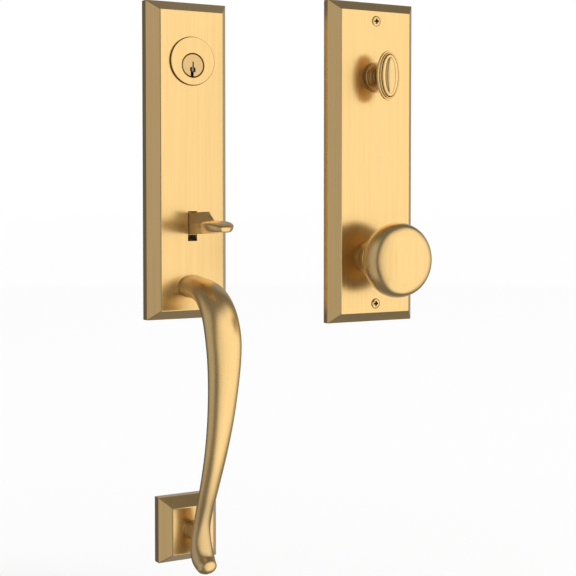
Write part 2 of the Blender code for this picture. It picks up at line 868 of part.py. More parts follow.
rows = blend(GRIP_STATIONS, GRIP_STEPS)
rings = []
for i, row in enumerate(rows):
    rings.append(grip_ring(row, rows[max(i - 1, 0)], rows[min(i + 1, len(rows) - 1)]))
end = rows[-1]
end_along = Vector((end[0] - rows[-2][0], end[1] - rows[-2][1])).normalized()
TAIL_ROUND = 5.4
for i in range(1, 6):
    angle = i / 6 * math.pi / 2
    ahead = TAIL_ROUND * math.sin(angle)
    row = (end[0] + end_along.x * ahead, end[1] + end_along.y * ahead, end[2], end[3])
    rings.append(grip_ring(row, rows[-2], end, math.cos(angle)))
rings[0] = [(across, up, OUTSIDE_DEPTH + GAP) for across, up, out in rings[0]]
grip = loft("grip", rings, outside, (0, 0, 0), brass)
post = turned(
    "lower post",
    [
        (0, 33 * mm),
        (POST_RADIUS, 33 * mm),
        (POST_RADIUS, 21.5 * mm),
        (POST_RADIUS + 0.9 * mm, OUTSIDE_DEPTH + GAP),
        (0, OUTSIDE_DEPTH + GAP),
    ],
    outside,
    (0, GRIP_FOOT, 0),
    steps=24,
)
join(grip, post)
GRIP_SCREW_RADIUS = 2.9 * mm
cut(
    grip,
    drill("root thread", GRIP_SCREW_RADIUS + GAP, 33 * mm, 10 * mm, outside, (0, GRIP_ROOT, 0),
        steps=20),
    drill("foot thread", GRIP_SCREW_RADIUS + GAP, 30 * mm, 10 * mm, outside, (0, GRIP_FOOT, 0),
        steps=20),
)
base = bevelled_plate(
    "grip_base", BASE_WIDTH, BASE_HEIGHT, OUTSIDE_DEPTH, OUTSIDE_SIDE, GRIP_FOOT, outside
)
cut(
    base,
    drill("base screw hole", 3.3 * mm, OUTSIDE_DEPTH + 4 * mm, 5 * mm, outside, (0, GRIP_FOOT, 0)),
)
washer_front = OUTSIDE_DEPTH - PLATE_WALL - GAP
washer_back = washer_front - 1.4 * mm
for name, up, reach in (("grip", GRIP_ROOT, 32 * mm), ("base", GRIP_FOOT, 29 * mm)):
    washer(f"{name}_washer", 8 * mm, 3.3 * mm, washer_front, washer_back, outside, (0, up, 0),
           steel)
    seat = washer_back - GAP
    rear_screw(
        f"{name}_screw", GRIP_SCREW_RADIUS, 5.5 * mm, reach - seat, seat, 3.6 * mm, outside,
        (0, up, 0),
    )

# The inside plate, its chassis and the two screws that hold it
inside_plate = bevelled_plate(
    "interior_escutcheon", INSIDE_WIDTH, PLATE_HEIGHT, INSIDE_DEPTH, INSIDE_SIDE,
    INSIDE_TOP - PLATE_HEIGHT / 2, inside,
)
screw_heights = {
    "top": INSIDE_TOP - SCREW_INSET_TOP,
    "bottom": INSIDE_TOP - PLATE_HEIGHT + SCREW_INSET_BOTTOM,
}
collar_sleeve = TURN_SHANK + 1.6 * mm
rose_sleeve = KNOB_SHANK + 2.7 * mm
cut(
    inside_plate,
    drill("turn hole", collar_sleeve + GAP, INSIDE_DEPTH + 4 * mm, 5 * mm, inside,
        (0, BOLT_SPACING, 0), steps=32),
    drill("knob hole", rose_sleeve + GAP, INSIDE_DEPTH + 4 * mm, 5 * mm, inside, (0, 0, 0),
        steps=40),
)
SCREW_SHANK = 1.9 * mm
bush_front = INSIDE_DEPTH - PLATE_WALL - GAP
SCREW_HEAD = 3.7 * mm
chassis_half = INSIDE_WIDTH / 2 - CHASSIS_SIDE_MARGIN
chassis = flat(
    "interior_chassis",
    [
        rounded_rectangle(
            -chassis_half, chassis_half, INSIDE_TOP - PLATE_HEIGHT + CHASSIS_END_MARGIN,
            INSIDE_TOP - CHASSIS_END_MARGIN, 5 * mm,
        ),
        circle(0, 0, CHASSIS_KNOB_HOLE, 28),
        circle(0, BOLT_SPACING, CHASSIS_TURN_HOLE, 28),
        rounded_rectangle(
            -7 * mm, 7 * mm, CHASSIS_KNOB_HOLE + CHASSIS_WEB,
            BOLT_SPACING - CHASSIS_TURN_HOLE - CHASSIS_WEB, 4 * mm,
        ),
    ],
    2.4 * mm,
    0.4 * mm,
    inside,
    (0, 0, 0),
    steel,
)
for name, up in screw_heights.items():
    head_seat = INSIDE_DEPTH - 2.0 * mm
    at = (0, up, 0)
    cut(
        inside_plate,
        turned(
            f"{name} countersink",
            [
                (0, INSIDE_DEPTH + 1 * mm),
                (SCREW_HEAD + GAP, INSIDE_DEPTH + 1 * mm),
                (SCREW_HEAD + GAP, INSIDE_DEPTH - 0.2 * mm),
                (SCREW_SHANK + GAP, head_seat - GAP),
                (SCREW_SHANK + GAP, 5 * mm),
                (0, 5 * mm),
            ],
            inside,
            at,
            steps=18,
        ),
    )
    join(chassis, rod(f"{name} bush", 3.8 * mm, bush_front, 1 * mm, inside, at, steps=14))
    cut(chassis, drill(f"{name} tap", SCREW_SHANK + GAP, 14 * mm, -1 * mm, inside, at, steps=12))
    screw = turned(
        f"interior_screw_{name}",
        [
            (0, INSIDE_DEPTH + 0.9 * mm),
            (SCREW_HEAD * 0.55, INSIDE_DEPTH + 0.7 * mm),
            (SCREW_HEAD * 0.85, INSIDE_DEPTH + 0.35 * mm),
            (SCREW_HEAD, INSIDE_DEPTH - 0.1 * mm),
            (SCREW_SHANK, head_seat),
            (SCREW_SHANK, 2.2 * mm),
            (SCREW_SHANK * 0.5, 0.8 * mm),
            (0, 0.8 * mm),
        ],
        inside,
        at,
        brass,
        steps=18,
    )
    cut(screw, cross_recess(
        f"{name} recess", 4 * mm, INSIDE_DEPTH + 2 * mm, INSIDE_DEPTH - 0.9 * mm, inside, at
    ))

# Turn piece on its collar
turned(
    "turn_collar",
    [
        (7.0 * mm, 21.6 * mm),
        (7.5 * mm, 21.1 * mm),
        (7.5 * mm, 19.2 * mm),
        (8.3 * mm, 19.1 * mm),
        (8.7 * mm, 18.7 * mm),
        (8.7 * mm, 17.6 * mm),
        (COLLAR_RADIUS - 0.6 * mm, 17.6 * mm),
        (COLLAR_RADIUS, 17.0 * mm),
        (COLLAR_RADIUS, INSIDE_DEPTH + GAP),
        (collar_sleeve, INSIDE_DEPTH + GAP),
        (collar_sleeve, 9.6 * mm),
        (TURN_SHANK + GAP, 9.6 * mm),
        (TURN_SHANK + GAP, 21.6 * mm),
    ],
    inside,
    (0, BOLT_SPACING, 0),
    brass,
    steps=28,
    ring=True,
)


def oval(half_width, half_height, out):
    points = []
    for i in range(TURN_SIDES):
        angle = 2 * math.pi * i / TURN_SIDES
        points.append(
            (half_width * mm * math.cos(angle), half_height * mm * math.sin(angle), out * mm)
        )
    return points


turn_piece = loft(
    "turn_piece", [oval(*ring) for ring in TURN_RINGS], inside, (0, BOLT_SPACING, 0), brass
)
join(
    turn_piece,
    turned(
        "turn shank",
        [
            (0, 31 * mm),
            (6.4 * mm, 31 * mm),
            (6.2 * mm, 26.6 * mm),
            (TURN_SHANK, 24.4 * mm),
            (TURN_SHANK, 6 * mm),
            (0, 6 * mm),
        ],
        inside,
        (0, BOLT_SPACING, 0),
        steps=28,
    ),
)
driver_front = 10 * mm
driver_radius = 3.2 * mm
cut(
    turn_piece,
    drill("driver hole", driver_radius + GAP, driver_front + GAP, 0, inside, (0, BOLT_SPACING, 0)),
)
driver = rod(
    "turn_driver", driver_radius, driver_front, -9 * mm, inside, (0, BOLT_SPACING, 0), steel
)
cut(
    driver,
    box(
        "driver slot",
        (TAIL_WIDTH + 3 * mm, TAIL_THICKNESS + 2 * GAP, 12 * mm),
        inside,
        (0, BOLT_SPACING, -8 * mm),
    ),
)
washer("turn_clip", 8.4 * mm, TURN_SHANK + GAP, 9.6 * mm - GAP, 8.2 * mm, inside,
       (0, BOLT_SPACING, 0), steel)

# Knob on its rose
turned(
    "knob_rose",
    [
        (ROSE_RADIUS - 3.4 * mm, 19.0 * mm),
        (ROSE_RADIUS - 0.8 * mm, 18.6 * mm),
        (ROSE_RADIUS, 17.7 * mm),
        (ROSE_RADIUS, INSIDE_DEPTH + GAP),
        (rose_sleeve, INSIDE_DEPTH + GAP),
        (rose_sleeve, 9.6 * mm),
        (KNOB_SHANK + GAP, 9.6 * mm),
        (KNOB_SHANK + GAP, 19.0 * mm),
    ],
    inside,
    (0, 0, 0),
    brass,
    steps=32,
    ring=True,
)
knob = turned(
    "knob",
    [(radius * mm, out * mm) for radius, out in KNOB_PROFILE]
    + [(KNOB_SHANK, 22.2 * mm), (KNOB_SHANK, 5.6 * mm), (0, 5.6 * mm)],
    inside,
    (0, 0, 0),
    brass,
    steps=36,
)
SET_SCREW_OUT = 21.4 * mm
set_screw_radius = 1.7 * mm
set_hole = rod("set screw hole", set_screw_radius + GAP, 0, -14 * mm, inside,
               (0, 0, SET_SCREW_OUT), steps=16)
set_hole.rotation_euler = (0, 0, 0)
cut(
    knob,
    box("knob socket", (socket_side, socket_side, 2 * SPINDLE_FRONT), inside, (0, 0, GAP)),
    set_hole,
)
knob_spindle = box(
    "knob_spindle",
    (SPINDLE_SIDE, SPINDLE_SIDE, SPINDLE_FRONT + SPINDLE_REACH),
    inside,
    (0, 0, (SPINDLE_FRONT - SPINDLE_REACH) / 2),
    steel,
)
round_edges(knob_spindle, 0.5 * mm, 1)
set_screw = rod("knob_set_screw", set_screw_radius, -SPINDLE_SIDE / 2 - GAP, -KNOB_SHANK + 0.3 * mm,
                inside, (0, 0, SET_SCREW_OUT), steel, steps=12)
set_screw.rotation_euler = (0, 0, 0)
washer("knob_clip", 13.4 * mm, KNOB_SHANK + GAP, 9.6 * mm - GAP, 8.0 * mm, inside, (0, 0, 0), steel)
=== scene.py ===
import json
import math

import bmesh
import bpy
from mathutils import Matrix, Vector


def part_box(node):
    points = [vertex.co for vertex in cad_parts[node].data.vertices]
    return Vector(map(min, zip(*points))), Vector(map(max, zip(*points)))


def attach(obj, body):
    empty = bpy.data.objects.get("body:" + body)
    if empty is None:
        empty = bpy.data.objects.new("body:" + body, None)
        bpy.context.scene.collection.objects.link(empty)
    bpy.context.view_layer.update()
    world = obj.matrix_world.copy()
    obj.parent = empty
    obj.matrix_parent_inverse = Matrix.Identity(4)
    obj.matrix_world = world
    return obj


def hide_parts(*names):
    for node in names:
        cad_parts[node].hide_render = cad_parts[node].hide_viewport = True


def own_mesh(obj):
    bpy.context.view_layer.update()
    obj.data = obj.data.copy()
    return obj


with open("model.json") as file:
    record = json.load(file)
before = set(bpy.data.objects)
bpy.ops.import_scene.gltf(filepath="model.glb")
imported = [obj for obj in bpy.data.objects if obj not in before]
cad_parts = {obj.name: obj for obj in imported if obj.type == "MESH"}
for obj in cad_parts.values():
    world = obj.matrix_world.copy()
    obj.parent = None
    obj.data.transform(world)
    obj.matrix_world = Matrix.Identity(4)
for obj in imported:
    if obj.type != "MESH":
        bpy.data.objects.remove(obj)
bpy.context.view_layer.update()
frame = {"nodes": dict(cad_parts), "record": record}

mm = 0.001
touching = 0.001 * mm    # points closer than this are one
scene = bpy.context.scene
for leftOver in ("Cube", "Light", "Camera"):
    if leftOver in bpy.data.objects:
        bpy.data.objects.remove(bpy.data.objects[leftOver])
print("frame loaded:", len(frame["nodes"]), "nodes")

# The camera stands left of the plates and a little above their middle
camera = {
    "place": (-0.42153, -0.92426, 0.09709),
    "turn": (87.823, 0, -29.223),
    "lens": 79.93,
    "shift": -0.08,    # small, so that the other views stay whole
    "sensor": 36,
    "seesFrom": 0.05,
    "seesTo": 60,
}
lens = bpy.data.cameras.new("camera")
lens.lens = camera["lens"]
lens.sensor_width = camera["sensor"]
lens.shift_y = camera["shift"]
lens.clip_start = camera["seesFrom"]
lens.clip_end = camera["seesTo"]
cameraObject = bpy.data.objects.new("camera", lens)
cameraObject.location = camera["place"]
cameraObject.rotation_euler = [math.radians(angle) for angle in camera["turn"]]
scene.collection.objects.link(cameraObject)
scene.camera = cameraObject
scene.view_settings.view_transform = "Standard"


class Wire:    # a shader value that takes part in sums
    def __init__(self, board, socket):
        self.board = board
        self.socket = socket

    def maths(self, operation, first, second=0.0):
        return self.board.add("ShaderNodeMath", {"operation": operation}, {0: first, 1: second})

    def __add__(self, other):
        return self.maths("ADD", self, other)

    def __radd__(self, other):
        return self.maths("ADD", other, self)

    def __sub__(self, other):
        return self.maths("SUBTRACT", self, other)

    def __rsub__(self, other):
        return self.maths("SUBTRACT", other, self)

    def __mul__(self, other):
        return self.maths("MULTIPLY", self, other)

    def __rmul__(self, other):
        return self.maths("MULTIPLY", other, self)


class Board:    # the nodes of one material or of the world
    def __init__(self, owner):
        owner.use_nodes = True
        self.tree = owner.node_tree
        self.tree.nodes.clear()

    def add(self, kind, settings=None, values=None, out=0):
        node = self.tree.nodes.new(kind)
        for key, value in (settings or {}).items():
            setattr(node, key, value)
        for key, value in (values or {}).items():
            if isinstance(value, Wire):
                self.tree.links.new(value.socket, node.inputs[key])
            else:
                node.inputs[key].default_value = value
        return Wire(self, node.outputs[out] if len(node.outputs) else None)

    def step(self, value, low, high, start=0.0, end=1.0):    # a soft step from low to high
        return self.add(
            "ShaderNodeMapRange",
            {"interpolation_type": "SMOOTHSTEP"},
            {"Value": value, "From Min": low, "From Max": high, "To Min": start, "To Max": end},
        )

    def mixed(self, amount, first, second):    # a colour between two
        ends = [end if isinstance(end, Wire) else (*end, 1) for end in (first, second)]
        values = {0: amount, 6: ends[0], 7: ends[1]}
        return self.add("ShaderNodeMix", {"data_type": "RGBA"}, values, out=2)

    # where on the object, or on the attribute that the piece has of its own
    def place(self, stretch=(1, 1, 1), centre=(0, 0, 0), own=None):
        moved = [-c * s for c, s in zip(centre, stretch)]
        if own:
            spot = self.add("ShaderNodeAttribute", {"attribute_name": own}, out="Vector")
        else:
            spot = self.add("ShaderNodeTexCoord", out="Object")
        return self.add(
            "ShaderNodeMapping",
            {"vector_type": "POINT"},
            {"Vector": spot, "Location": moved, "Scale": stretch},
        )

    def noise(self, where, detail=2.0, rough=0.5):
        return self.add(
            "ShaderNodeTexNoise",
            {"noise_dimensions": "3D"},
            {"Vector": where, "Scale": 1.0, "Detail": detail, "Roughness": rough},
        )


# White surroundings, a soft sun, and a tent that shows only in reflections
studio = {
    "white": 1.0,           # the background
    "fill": 0.78,           # what lights everything that isn't metal
    "sun": 1.05,
    "sunTurn": (38, 12, 30),
    "sunSize": 26,
    "floorDown": -0.26,
    "floorSize": 40,
    "floorColour": (0.96, 0.96, 0.96),
    "floorRoughness": 0.9,
    "floorGloss": 0.1,
}


def makeWorld():
    world = bpy.data.worlds.new("studio")
    scene.world = world
    board = Board(world)
    path = board.add("ShaderNodeLightPath", out="Is Camera Ray")
    kinds = path.socket.node.outputs
    glossy, through = [Wire(board, kinds[f"Is {kind} Ray"]) for kind in ("Glossy", "Transmission")]
    seen = path.maths("MAXIMUM", path, path.maths("MAXIMUM", glossy, through))
    level = studio["fill"] + seen * (studio["white"] - studio["fill"])
    light = board.add("ShaderNodeBackground", {}, {"Color": (1, 1, 1, 1), "Strength": level})
    board.add("ShaderNodeOutputWorld", {}, {"Surface": light})


def makeSun():
    sun = bpy.data.lights.new("sun", "SUN")
    sun.energy = studio["sun"]
    sun.angle = math.radians(studio["sunSize"])
    sunObject = bpy.data.objects.new("sun", sun)
    sunObject.rotation_euler = [math.radians(angle) for angle in studio["sunTurn"]]
    sunObject.visible_glossy = False    # the tent makes the highlights
    scene.collection.objects.link(sunObject)


def newObject(name, bm):
    mesh = bpy.data.meshes.new(name)
    bm.to_mesh(mesh)
    bm.free()
    made = bpy.data.objects.new(name, mesh)
    scene.collection.objects.link(made)
    return made


def makeFloor():
    bm = bmesh.new()
    bmesh.ops.create_grid(bm, x_segments=1, y_segments=1, size=studio["floorSize"] / 2)
    bmesh.ops.translate(bm, vec=(0, 0, studio["floorDown"]), verts=bm.verts)
    floor = newObject("floor", bm)
    paint = bpy.data.materials.new("floorPaint")
    board = Board(paint)
    cover = board.add(
        "ShaderNodeBsdfPrincipled",
        {},
        {
            "Base Color": (*studio["floorColour"], 1),
            "Roughness": studio["floorRoughness"],
            "Specular IOR Level": studio["floorGloss"],
        },
    )
    board.add("ShaderNodeOutputMaterial", {}, {"Surface": cover})
    floor.data.materials.append(paint)
    floor.visible_glossy = False


# Azimuths run from straight in front of the plates towards their right, in degrees
tent = {
    "centre": (0.05, -0.04, 0.03),
    "radius": 4.0,
    "segments": (48, 24),
    "warm": (1.0, 0.955, 0.86),               # the front panel's light
    "cool": (1.0, 0.98, 0.97),                # the light of all the rest
    "dim": 0.12,                              # the unlit cloth
    "front": (-33, -12, 70, 112),             # bright panel: fades in and out between these
    "frontLevel": 0.70,
    "right": (-16, 24),                       # it gets brighter to the right
    "rightLevel": 0.26,
    "reach": (34, 62),                        # how high the panels reach, and how low the side ones
    "frontDown": (-80, -48),                  # how low the front one reaches
    "corner": 0.008,                          # rounds the front panel's corners
    "left": (-150, -98, -50, -39),
    "leftLevel": 0.33,
    "rear": (108, 126, 160, 186),
    "rearLevel": 0.25,
    "overhead": (0.55, 0.95),
    "overheadLevel": 0.05,
    "below": (0.45, 0.8),
    "belowLevel": 0.07,
}


def makeTent():
    bm = bmesh.new()
    around, upright = tent["segments"]
    bmesh.ops.create_uvsphere(bm, u_segments=around, v_segments=upright, radius=tent["radius"])
    bmesh.ops.translate(bm, vec=tent["centre"], verts=bm.verts)
    bmesh.ops.reverse_faces(bm, faces=bm.faces)
    cloth = newObject("tent", bm)
    paint = bpy.data.materials.new("tentLight")
    board = Board(paint)
    spot = board.place(centre=tent["centre"])
    way = board.add("ShaderNodeVectorMath", {"operation": "NORMALIZE"}, {0: spot})
    across = board.add("ShaderNodeSeparateXYZ", {}, {0: way}, out="X")
    parts = across.socket.node.outputs
    deep = Wire(board, parts["Y"])
    up = Wire(board, parts["Z"])
    azimuth = across.maths("ARCTAN2", across, deep * -1.0) * (180 / math.pi)
    lift = up.maths("ARCSINE", up) * (180 / math.pi)

    def band(limits):
        return board.step(azimuth, *limits[:2]) * board.step(azimuth, *limits[2:], 1, 0)

    top = board.step(lift, *tent["reach"], 1, 0)
    sides = top * board.step(lift * -1.0, *tent["reach"], 1, 0)
    ahead = tent["frontLevel"] + board.step(azimuth, *tent["right"]) * tent["rightLevel"]
    corner = lift * lift * tent["corner"]
    front = board.step(azimuth - corner, *tent["front"][:2])
    front = front * board.step(azimuth + corner, *tent["front"][2:], 1, 0)
    front = front * top * board.step(lift, *tent["frontDown"])
    beside = band(tent["left"]) * tent["leftLevel"] + band(tent["rear"]) * tent["rearLevel"]
    above = board.step(up, *tent["overhead"]) * tent["overheadLevel"]
    under = board.step(up * -1.0, *tent["below"]) * tent["belowLevel"]
    total = tent["dim"] + front * ahead + beside * sides + above + under
    tint = board.mixed(front, tent["cool"], tent["warm"])
    light = board.add("ShaderNodeVectorMath", {"operation": "SCALE"}, {0: tint, "Scale": total})
    shine = board.add("ShaderNodeEmission", {}, {"Color": light, "Strength": 1.0})
    board.add("ShaderNodeOutputMaterial", {}, {"Surface": shine})
    cloth.data.materials.append(paint)
    cloth.visible_camera = False
    cloth.visible_diffuse = False
    cloth.visible_transmission = False
    cloth.visible_volume_scatter = False
    cloth.visible_shadow = False


makeWorld()
makeSun()
makeFloor()
makeTent()
print("studio ready")

# Finishes. The brass is brushed up and down, and lacquered over.
brass = {
    "pale": (0.985, 0.702, 0.318),
    "deep": (0.930, 0.646, 0.278),
    "roughness": 0.25,
    "gripRoughness": 0.28,
    "thumbRoughness": 0.34,
    "coatRoughness": 0.12,
    "toneMix": (0.45, 0.4, 0.15),    # fine grain, broad grain, smudges
    "toneRange": (0.36, 0.64),
    "fineRough": 0.10,               # how much each makes the roughness vary
    "smudgeRough": 0.08,
    "dullRough": 0.12,
    "dull": (0.54, 0.40, 0.24),      # painted shade, the colour the brass turns near the door
    "spread": 0.40,                  # the brushing draws reflections out sideways
    "lacquer": 0.55,
    "fineGrain": (2600, 2600, 34),
    "broadGrain": (420, 420, 9),
    "smudges": (28, 28, 20),
    "depth": 0.012 * mm,
    "bump": 0.5,
    "bumpMix": (0.7, 0.3),
}
turnedBrass = {
    "pale": (0.86, 0.61, 0.30),
    "deep": (0.72, 0.50, 0.23),
    "roughness": 0.30,
    "rings": 2600,
    "cloud": (300, 300, 300),
    "parts": (0.6, 0.4),    # rings, cloud
    "ringRough": 0.12,
    "depth": 0.01 * mm,
    "bump": 0.5,
}
zinc = {
    "pale": (0.66, 0.67, 0.66),
    "deep": (0.52, 0.53, 0.50),
    "roughness": 0.36,
    "spangle": (260, 260, 260),
    "speckle": (1700, 1700, 1700),
    "toneRange": (0.3, 0.7),
    "spangleRough": 0.16,
    "depth": 0.02 * mm,
    "bump": 0.4,
}
# painted shade for hollows: pale and deep colours for screw recesses, grooves and walls
hollowShade = {
    "screw": ((0.17, 0.11, 0.05), (0.10, 0.065, 0.03)),
    "groove": ((0.27, 0.175, 0.08), (0.19, 0.12, 0.05)),
    "wall": ((0.46, 0.30, 0.135), (0.33, 0.21, 0.09)),
    "cloud": (900, 900, 900),
    "roughness": 0.5,
    "cloudRough": 0.2,
}
wire = {
    "pale": (0.50, 0.50, 0.51),
    "deep": (0.34, 0.34, 0.35),
    "roughness": 0.28,
    "scratches": (900, 900, 3000),
    "scratchRough": 0.12,
}
plastic = {
    "pale": (0.018, 0.018, 0.018),
    "deep": (0.009, 0.009, 0.009),
    "roughness": 0.55,
    "grain": (2400, 2400, 2400),
    "grainRough": 0.1,
    "depth": 0.03 * mm,
    "bump": 0.5,
}


def finished(name, build):    # a material whose nodes come from build
    paint = bpy.data.materials.new(name)
    board = Board(paint)
    values = build(board)
    cover = board.add("ShaderNodeBsdfPrincipled", {}, values)
    board.add("ShaderNodeOutputMaterial", {}, {"Surface": cover})
    return paint


def bumped(board, look, height):
    values = {"Strength": look["bump"], "Distance": look["depth"], "Height": height}
    return board.add("ShaderNodeBump", {}, values)


# the shade range says where the brass is painted darker towards the door, as painted shade, and how
# much; own which attribute the grain follows
def brushed(board, roughness, dull=None, own=None):
    fine = board.noise(board.place(brass["fineGrain"], own=own), detail=3, rough=0.6)
    broad = board.noise(board.place(brass["broadGrain"], own=own))
    smudge = board.noise(board.place(brass["smudges"]))
    parts = brass["toneMix"]
    tone = board.step(fine * parts[0] + broad * parts[1] + smudge * parts[2], *brass["toneRange"])
    height = fine * brass["bumpMix"][0] + broad * brass["bumpMix"][1]
    colour = board.mixed(tone, brass["deep"], brass["pale"])
    rough = roughness + (fine - 0.5) * brass["fineRough"] + (smudge - 0.5) * brass["smudgeRough"]
    # painted shade: the colour darkens towards the door, and the roughness rises there too
    if dull:
        start, end, most = dull
        depth = board.add("ShaderNodeSeparateXYZ", {}, {0: board.place()}, out="Y")
        shade = board.step(depth, start, end, 0, most)
        colour = board.mixed(shade, colour, brass["dull"])
        rough = rough + shade * brass["dullRough"]
    return {
        "Base Color": colour,
        "Metallic": 1.0,
        "Roughness": rough,
        "Anisotropic": brass["spread"],
        "Coat Weight": brass["lacquer"],
        "Coat Roughness": brass["coatRoughness"],
        "Normal": bumped(board, brass, height),
    }


def ringed(board, centre):    # turning marks round an axis that runs out of the door
    spot = board.place(centre=centre)
    flat = board.add("ShaderNodeVectorMath", {"operation": "MULTIPLY"}, {0: spot, 1: (1, 0, 1)})
    reach = board.add("ShaderNodeVectorMath", {"operation": "LENGTH"}, {0: flat}, out="Value")
    rings = board.add("ShaderNodeCombineXYZ", {}, {"X": reach * turnedBrass["rings"]})
    marks = board.noise(rings, rough=0.6)
    cloud = board.noise(board.place(turnedBrass["cloud"]))
    tone = marks * turnedBrass["parts"][0] + cloud * turnedBrass["parts"][1]
    return {
        "Base Color": board.mixed(tone, turnedBrass["deep"], turnedBrass["pale"]),
        "Metallic": 1.0,
        "Roughness": turnedBrass["roughness"] + (marks - 0.5) * turnedBrass["ringRough"],
        "Normal": bumped(board, turnedBrass, marks),
    }


def plated(board):
    spangle = board.noise(board.place(zinc["spangle"]))
    speckle = board.noise(board.place(zinc["speckle"]), rough=0.6)
    tone = board.step(spangle, *zinc["toneRange"])
    return {
        "Base Color": board.mixed(tone, zinc["deep"], zinc["pale"]),
        "Metallic": 1.0,
        "Roughness": zinc["roughness"] + (spangle - 0.5) * zinc["spangleRough"],
        "Normal": bumped(board, zinc, speckle),
    }


def drawn(board):
    scratch = board.noise(board.place(wire["scratches"]), rough=0.6)
    return {
        "Base Color": board.mixed(scratch, wire["deep"], wire["pale"]),
        "Metallic": 1.0,
        "Roughness": wire["roughness"] + (scratch - 0.5) * wire["scratchRough"],
    }


def shadedBrass(board, pale, deep):    # brass darkened with painted shade
    cloud = board.noise(board.place(hollowShade["cloud"]))
    return {
        "Base Color": board.mixed(cloud, deep, pale),
        "Metallic": 1.0,
        "Roughness": hollowShade["roughness"] + (cloud - 0.5) * hollowShade["cloudRough"],
    }


def moulded(board):
    grain = board.noise(board.place(plastic["grain"]))
    return {
        "Base Color": board.mixed(grain, plastic["deep"], plastic["pale"]),
        "Roughness": plastic["roughness"] + (grain - 0.5) * plastic["grainRough"],
        "Normal": bumped(board, plastic, grain),
    }


def middle(node):
    low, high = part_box(node)
    return (low + high) / 2


outsideAxis = Vector((0, 0, middle("latch_hub").z))
insideAxis = Vector((middle("knob").x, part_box("interior_escutcheon")[1].y, middle("knob").z))
turnAxis = Vector((insideAxis.x, insideAxis.y, middle("turn_collar").z))
discAxis = Vector((0, 0, middle("cylinder_bracket").z))

shadeNearDoor = {    # painted shade near the door: from and to in millimetres out of the door, and how much
    "grip": (56, 20, 0.75),
    "thumb": (62, 48, 0.6),
    "knob": (47, 37, 1),
    "turn": (30, 29, 1),
}


def nearDoor(piece, axis):
    start, end, most = shadeNearDoor[piece]
    return axis.y - start * mm, axis.y - end * mm, most


# where painted shade darkens each piece near the door
gripShade = nearDoor("grip", outsideAxis)
thumbShade = nearDoor("thumb", outsideAxis)
knobShade = nearDoor("knob", insideAxis)
turnShade = nearDoor("turn", insideAxis)
plateBrass = finished("plateBrass", lambda board: brushed(board, brass["roughness"]))
gripBrass = finished(
    "gripBrass", lambda board: brushed(board, brass["gripRoughness"], gripShade, "unbent")
)
knobBrass = finished("knobBrass", lambda board: brushed(board, brass["roughness"], knobShade))
turnBrass = finished("turnBrass", lambda board: brushed(board, brass["roughness"], turnShade))
thumbBrass = finished(
    "thumbBrass", lambda board: brushed(board, brass["thumbRoughness"], thumbShade)
)
plugBrass = finished("plugBrass", lambda board: ringed(board, middle("cylinder_plug")))
zincSteel = finished("zincSteel", plated)
springSteel = finished("springSteel", drawn)
blackPlastic = finished("blackPlastic", moulded)
# brass painted darker, as shade, for screw recesses, grooves and step walls
recessBrass = finished("recessBrass", lambda board: shadedBrass(board, *hollowShade["screw"]))
grooveBrass = finished("grooveBrass", lambda board: shadedBrass(board, *hollowShade["groove"]))
wallBrass = finished("wallBrass", lambda board: shadedBrass(board, *hollowShade["wall"]))
slotFinish = {
    "satin_brass": plateBrass,
    "machined_brass": plugBrass,
    "zinc_steel": zincSteel,
    "spring_steel": springSteel,
    "black_plastic": blackPlastic,
}
print("finishes made")

bodies = frame["record"]["behaviour"]["bodies"]
bodyOf = {node: body for body, members in bodies.items() for node in members}
slotOf = {part["node"]: part["material_slot"] for part in frame["record"]["subparts"]}


def settle(name, bm, node, finish=None, sharp=38):    # a finished piece that stands for a CAD node
    made = newObject(name, bm)
    made.data.materials.append(finish or slotFinish[slotOf[node]])
    made.data.shade_smooth()
    made.data.set_sharp_from_angle(angle=math.radians(sharp))
    smooth = made.modifiers.new("flat faces stay flat", "WEIGHTED_NORMAL")
    smooth.keep_sharp = True
    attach(made, bodyOf[node])
    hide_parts(node)
    return made


def takeIn(bm, other):    # adds another shape to this one, after its own
    carrier = bpy.data.meshes.new("carrier")
    other.to_mesh(carrier)
    other.free()
    bm.from_mesh(carrier)
    bpy.data.meshes.remove(carrier)


def standUp(bm, centre):    # turns what was made along +Z to point out of the door, at centre
    turn = Matrix.Translation(centre) @ Matrix.Rotation(math.radians(90), 4, "X")
    bmesh.ops.transform(bm, matrix=turn, verts=bm.verts)
    bmesh.ops.recalc_face_normals(bm, faces=bm.faces)


def line(points, closed=False):    # a chain of edges from (radius, out) in millimetres
    bm = bmesh.new()
    verts = [bm.verts.new((radius * mm, 0, out * mm)) for radius, out in points]
    for first, second in zip(verts, verts[1:]):
        bm.edges.new((first, second))
    if closed:
        bm.edges.new((verts[-1], verts[0]))
    return bm


def spun(points, steps=96, closed=False):    # a turned shape about its own axis
    bm = line(points, closed)
    bmesh.ops.spin(
        bm, geom=bm.verts[:] + bm.edges[:], cent=(0, 0, 0), axis=(0, 0, 1), dvec=(0, 0, 0),
        angle=math.tau, steps=steps, use_merge=True, use_duplicate=False,
    )
    bmesh.ops.remove_doubles(bm, verts=bm.verts, dist=touching)
    return bm


def smoothLine(points, steps):    # the same points joined by a Catmull-Rom curve
    rows = []
    last = len(points) - 1
    for i in range(last):
        near = [Vector(points[min(max(i + k, 0), last)]) for k in (-1, 0, 1, 2)]
        for step in range(steps):
            t = step / steps
            swing = (2 * near[0] - 5 * near[1] + 4 * near[2] - near[3]) * t * t
            swing += (3 * near[1] - near[0] - 3 * near[2] + near[3]) * t ** 3
            rows.append(near[1] + ((near[2] - near[0]) * t + swing) / 2)
    rows.append(Vector(points[last]))
    return rows


def ringChain(bm, matrices, sides):    # rings bridged one after another, closed at both ends
    rings = []
    for matrix in matrices:
        made = bmesh.ops.create_circle(bm, cap_ends=False, segments=sides, radius=1, matrix=matrix)
        rings.append({edge for vert in made["verts"] for edge in vert.link_edges})
    for first, second in zip(rings, rings[1:]):
        bmesh.ops.bridge_loops(bm, edges=list(first | second))
    for end in (rings[0], rings[-1]):
        bmesh.ops.contextual_create(bm, geom=list(end))
    return rings


